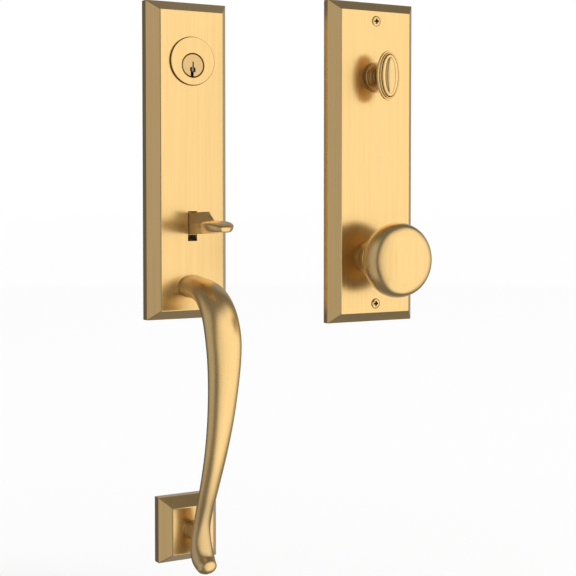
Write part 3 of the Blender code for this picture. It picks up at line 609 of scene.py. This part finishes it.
# Grip: an oval bar bent in an S, on two feet
grip = {
    # out of the door, up from the latch, half width, half thickness
    "stations": (
        (18.5, -35.3, 12.9, 9.0), (21.8, -35.4, 12.4, 8.5), (35.5, -36.6, 12.8, 8.6),
        (48.7, -40.0, 13.4, 8.6), (59.5, -47.0, 13.9, 8.6), (67.4, -57.4, 14.4, 8.4),
        (72.3, -72.0, 14.5, 8.4), (73.5, -88.0, 13.6, 8.0), (71.8, -108.0, 12.3, 7.2),
        (67.1, -133.0, 10.8, 6.3), (58.9, -160.0, 9.2, 5.5), (47.9, -187.0, 7.9, 4.9),
        (38.0, -209.0, 7.2, 4.6), (33.3, -222.0, 7.3, 4.8), (32.1, -232.5, 8.5, 5.7),
        (33.6, -240.5, 9.3, 6.4), (37.3, -246.8, 9.2, 6.6), (42.4, -250.2, 8.2, 6.3),
    ),
    "steps": 5,
    "sides": 56,
    "tail": 5.4,
    "tailRings": 8,
    "tailLeft": 0.6,    # of a ring, where the flat end is
    "foot": -227.2,
    "postSteps": 64,
    "post": ((0, 33), (6.8, 33), (6.8, 22.4), (6.95, 20.9), (7.3, 19.5), (7.7, 18.5), (0, 18.5)),
}


def ringMatrix(row, along, shrink=1.0):    # row: out, up, half width, half thickness
    out, up, wide, thick = row
    spot = outsideAxis + Vector((0, -out * mm, up * mm))
    path = Vector((0, -along[0], along[1])).normalized()
    across = Vector((1, 0, 0))
    normal = path.cross(across)
    columns = (across * wide * shrink * mm, normal * thick * shrink * mm, path * mm)
    turn = Matrix([list(column) for column in columns]).transposed().to_4x4()
    return Matrix.Translation(spot) @ turn


def makeGrip():
    rows = smoothLine(grip["stations"], grip["steps"])
    matrices = []
    for i, row in enumerate(rows):
        before = rows[max(i - 1, 0)]
        after = rows[min(i + 1, len(rows) - 1)]
        matrices.append(ringMatrix(row, (after[0] - before[0], after[1] - before[1])))
    end = rows[-1]
    along = Vector((end[0] - rows[-2][0], end[1] - rows[-2][1])).normalized()
    for i in range(1, grip["tailRings"] + 1):
        angle = i / (grip["tailRings"] + grip["tailLeft"]) * math.pi / 2
        ahead = grip["tail"] * math.sin(angle)
        row = (end[0] + along.x * ahead, end[1] + along.y * ahead, end[2], end[3])
        matrices.append(ringMatrix(row, along, math.cos(angle)))
    bm = bmesh.new()
    unbent = bm.verts.layers.float_vector.new("unbent")    # the place on the bar before it was bent
    rings = ringChain(bm, matrices, grip["sides"])
    length = 0
    for i, (ring, matrix) in enumerate(zip(rings, matrices)):
        length += (matrix.translation - matrices[max(i - 1, 0)].translation).length
        back = matrix.inverted()
        for vert in {vert for edge in ring for vert in edge.verts}:
            spot = back @ vert.co
            vert[unbent] = (spot.x * matrix.col[0].length, spot.y * matrix.col[1].length, length)
    bmesh.ops.recalc_face_normals(bm, faces=bm.faces)
    barVerts = len(bm.verts)
    post = spun(grip["post"], grip["postSteps"])
    standUp(post, outsideAxis + Vector((0, 0, grip["foot"] * mm)))
    takeIn(bm, post)
    for vert in bm.verts[barVerts:]:
        vert[unbent] = vert.co.xzy    # the post lies along the other way
    settle("gripBar", bm, "grip", gripBrass)


# Knob: a turned head with a flattened dome in front
knob = {
    # radius, out of the door
    "head": (
        (0, 58.4), (8, 58.0), (15, 57.0), (20.5, 55.6), (24.6, 53.5), (26.9, 50.9), (28.0, 47.8),
        (28.4, 44.4), (28.0, 41.3), (26.9, 38.3), (24.6, 35), (20.6, 31.8), (15.4, 28.6),
        (11.2, 26), (9.6, 23.1),
    ),
    "neck": ((9.3, 22.2), (9.3, 5.6), (0, 5.6)),
    "rose": (
        (11.2, 19.0), (12.6, 18.95), (13.8, 18.6), (14.4, 18.1), (14.6, 17.5), (14.6, 14.5),
        (12.0, 14.5), (12.0, 9.6), (9.6, 9.6), (9.6, 18.7), (9.9, 19.0),
    ),
    "curve": 4,    # points between two points of the head
    "headSteps": 112,
    "roseSteps": 96,
}


def makeKnob():
    head = smoothLine(knob["head"], knob["curve"])
    bm = spun([*head, *knob["neck"]], knob["headSteps"])
    standUp(bm, insideAxis)
    settle("knobHead", bm, "knob", knobBrass)
    bm = spun(knob["rose"], knob["roseSteps"], closed=True)
    standUp(bm, insideAxis)
    settle("knobRose", bm, "knob_rose")


# Turn piece: an oval button with three stepped ridges round a plain dome
turnPiece = {
    # half width, half height, out of the door
    "rings": (
        (4.6, 8.0, 27.2), (8.6, 17.0, 29.2), (10.2, 18.7, 30.3), (10.3, 18.8, 31.3),
        (9.9, 18.5, 32.1), (9.5, 18.1, 32.1), (9.1, 17.7, 31.5), (8.8, 17.4, 33.0),
        (8.3, 17.0, 33.5), (7.8, 16.5, 33.4), (7.3, 16.0, 32.8), (7.0, 15.7, 34.0),
        (6.6, 15.3, 34.4), (6.1, 15.0, 34.2), (5.6, 14.6, 33.3), (5.0, 14.0, 34.3),
        (4.5, 13.6, 34.7), (3.6, 11.2, 35.7), (2.0, 6.6, 36.4), (0.6, 2.0, 36.6),
    ),
    "steps": 3,
    "grooves": (6, 10, 14),    # rings at the bottom of a groove
    "sides": 72,
    "sharp": 60,
    "shank": (
        (0, 31), (6.4, 31), (6.35, 28.2), (6.2, 26.6), (5.6, 25.0), (5.2, 24.2), (5.2, 6), (0, 6),
    ),
    "shankSteps": 64,
    "collar": (
        (7.0, 21.6), (7.35, 21.45), (7.5, 21.1), (7.5, 19.25), (7.6, 19.15), (8.2, 19.15),
        (8.55, 19.0), (8.7, 18.65), (8.7, 17.75), (8.85, 17.6), (10.8, 17.6), (11.25, 17.45),
        (11.4, 17.0), (11.4, 14.5), (6.8, 14.5), (6.8, 9.6), (5.5, 9.6), (5.5, 21.6),
    ),
    "collarSteps": 96,
    "wallTilt": 0.5,    # faces of the collar that look less than this out of the door are walls
}


def makeTurnPiece():
    bm = bmesh.new()
    matrices = []
    for wide, high, out in smoothLine(turnPiece["rings"], turnPiece["steps"]):
        size = Matrix.Diagonal((wide * mm, high * mm, mm, 1))
        matrices.append(Matrix.Translation((0, 0, out * mm)) @ size)
    rings = ringChain(bm, matrices, turnPiece["sides"])
    # faces at the bottom of each groove get painted shade
    for groove in turnPiece["grooves"]:
        bottom = groove * turnPiece["steps"]
        near = {vert for ring in rings[bottom:bottom + 2] for edge in ring for vert in edge.verts}
        for face in {face for vert in near for face in vert.link_faces}:
            face.material_index = 1
    shank = spun(turnPiece["shank"], turnPiece["shankSteps"])
    takeIn(bm, shank)
    standUp(bm, turnAxis)
    button = settle("turnButton", bm, "turn_piece", turnBrass, turnPiece["sharp"])
    button.data.materials.append(grooveBrass)
    bm = spun(turnPiece["collar"], turnPiece["collarSteps"], closed=True)
    standUp(bm, turnAxis)
    bm.normal_update()
    for face in bm.faces:    # the walls of the steps get painted shade
        if abs(face.normal.y) < turnPiece["wallTilt"]:
            face.material_index = 1
    collar = settle("turnCollar", bm, "turn_collar")
    collar.data.materials.append(wallBrass)


# Key cylinder: the disc that stands proud of the plate, bored off its centre
cylinder = {
    "disc": (
        (18.0, 20.2), (18.35, 20.15), (18.6, 19.9), (18.7, 19.5), (18.7, 14.7), (22, 14.7),
        (22, 11.8), (16, 11.8), (16, -10),
    ),
    "bore": ((9.7, 20.2), (9.3, 19.85), (9.2, 19.5), (9.2, -10)),
    "drop": 3.4,
    "wallTop": 20.1,    # below this the disc's wall gets painted shade
    "steps": 112,
}


def makeCylinder():
    bm = spun(cylinder["disc"], cylinder["steps"])
    bore = spun(cylinder["bore"], cylinder["steps"])
    bmesh.ops.translate(bore, vec=(0, -cylinder["drop"] * mm, 0), verts=bore.verts)
    takeIn(bm, bore)
    for out in (cylinder["disc"][0][1], cylinder["disc"][-1][1]):
        rims = [
            edge for edge in bm.edges
            if edge.is_boundary and all(abs(vert.co.z - out * mm) < touching for vert in edge.verts)
        ]
        bmesh.ops.triangle_fill(bm, edges=rims, use_beauty=True, use_dissolve=False)
    # the disc's side wall is darkened with painted shade
    wall = [face for face in bm.faces if face.calc_center_median().z < cylinder["wallTop"] * mm]
    for face in wall:
        face.material_index = 1
    standUp(bm, discAxis)
    disc = settle("cylinderDisc", bm, "cylinder_housing")
    disc.data.materials.append(wallBrass)


# Lift spring: a real coil
spring = {
    "radius": 2.7,
    "wire": 0.4,
    "low": 14.9,
    "high": 24.05,
    "out": -7.2,
    "turns": 5.5,
    "section": 12,
    "stepsEach": 28,
    "left": 0.50,    # of its length, at the least
}


def makeSpring():
    bm = bmesh.new()
    upright = Matrix.Rotation(math.pi / 2, 4, "X")
    section = Matrix.Translation((spring["radius"] * mm, 0, 0)) @ upright
    bmesh.ops.create_circle(
        bm, cap_ends=False, segments=spring["section"], radius=spring["wire"] * mm, matrix=section
    )
    ends = bm.edges[:]
    count = round(spring["turns"] * spring["stepsEach"])
    rise = (spring["high"] - spring["low"]) * mm
    made = bmesh.ops.spin(
        bm, geom=bm.verts[:] + bm.edges[:], cent=(0, 0, 0), axis=(0, 0, 1),
        dvec=(0, 0, rise / count), angle=math.tau * spring["turns"], steps=count,
        use_merge=False, use_duplicate=False,
    )
    last = [item for item in made["geom_last"] if isinstance(item, bmesh.types.BMEdge)]
    for end in (ends, last):
        bmesh.ops.contextual_create(bm, geom=end)
    low = outsideAxis + Vector((0, -spring["out"] * mm, spring["low"] * mm))
    bmesh.ops.translate(bm, vec=low, verts=bm.verts)
    bmesh.ops.recalc_face_normals(bm, faces=bm.faces)
    coil = settle("liftSpring", bm, "lift_spring")
    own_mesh(coil)


# Pieces that keep the CAD shape: the same mesh, joined up and with its edges broken
carried = {
    "merge": 0.002,
    "flat": 0.5,                # degrees, up to which two faces are one
    "corner": 40,
    "edgeBreak": {
        "interior_chassis": 0.25, "lift_carrier": 0.2, "cylinder_bracket": 0.2, "lift_slide": 0.25,
        "hub_crank": 0.2, "slot_shield": 0.15, "knob_spindle": 0.15, "exterior_spindle": 0.15,
    },
    "plates": ("exterior_escutcheon", "interior_escutcheon", "grip_base"),
    "plateBreak": 0.4,
    "plateCorner": 20,
    "plateBand": 11,            # how far in from the outline a plate's front corners lie
    "recessed": ("interior_screw_top", "interior_screw_bottom"),
    "recessReach": 2.2,         # round the middle of the head
    "recessDepth": (0.25, 3),
    "ownFinish": {"thumb_piece": thumbBrass},
}


def breakEdges(bm, edges, width):
    bmesh.ops.bevel(
        bm, geom=edges, offset=width * mm, offset_type="OFFSET", segments=2, profile=0.5,
        affect="EDGES", clamp_overlap=True, material=-1,
    )


def frontEdges(bm, node):    # the long edges round a plate's front, without its holes
    low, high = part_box(node)
    band = Vector((1, 0, 1)) * carried["plateBand"] * mm
    inLow, inHigh = low + band, high - band
    middleY = (low.y + high.y) / 2
    for edge in bm.edges:
        ends = [vert.co for vert in edge.verts]
        inside = any(inLow.x < end.x < inHigh.x and inLow.z < end.z < inHigh.z for end in ends)
        ahead = any(end.y < middleY for end in ends)
        if ahead and not inside and edge.is_manifold and edge.is_convex:
            if edge.calc_face_angle(0) > math.radians(carried["plateCorner"]):
                yield edge


def shadeRecess(made, node):    # the cross recess is painted dark, as shade
    made.data.materials.append(recessBrass)
    low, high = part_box(node)
    centre = (low + high) / 2
    near, far = [low.y + depth * mm for depth in carried["recessDepth"]]
    for face in made.data.polygons:
        across = face.center - centre
        reach = math.hypot(across.x, across.z)
        if reach < carried["recessReach"] * mm and near < face.center.y < far:
            face.material_index = 1


def carryOver(node):
    bm = bmesh.new()
    bm.from_mesh(frame["nodes"][node].data)
    bmesh.ops.remove_doubles(bm, verts=bm.verts, dist=carried["merge"] * mm)
    bmesh.ops.dissolve_limit(
        bm, angle_limit=math.radians(carried["flat"]), use_dissolve_boundaries=False,
        verts=bm.verts[:], edges=bm.edges[:], delimit=set(),
    )
    if node in carried["edgeBreak"]:
        corner = math.radians(carried["corner"])
        edges = [edge for edge in bm.edges if edge.calc_face_angle(0) > corner]
        breakEdges(bm, edges, carried["edgeBreak"][node])
    if node in carried["plates"]:
        breakEdges(bm, list(frontEdges(bm, node)), carried["plateBreak"])
    words = node.split("_")
    name = words[0] + "".join(word.capitalize() for word in words[1:])
    made = settle(name, bm, node, carried["ownFinish"].get(node))
    if node in carried["recessed"]:
        shadeRecess(made, node)


makeGrip()
makeKnob()
makeTurnPiece()
makeCylinder()
makeSpring()
print("grip, knob, turn piece, cylinder and spring made")
for node, piece in frame["nodes"].items():
    if not piece.hide_render:
        carryOver(node)
print("other pieces carried over")
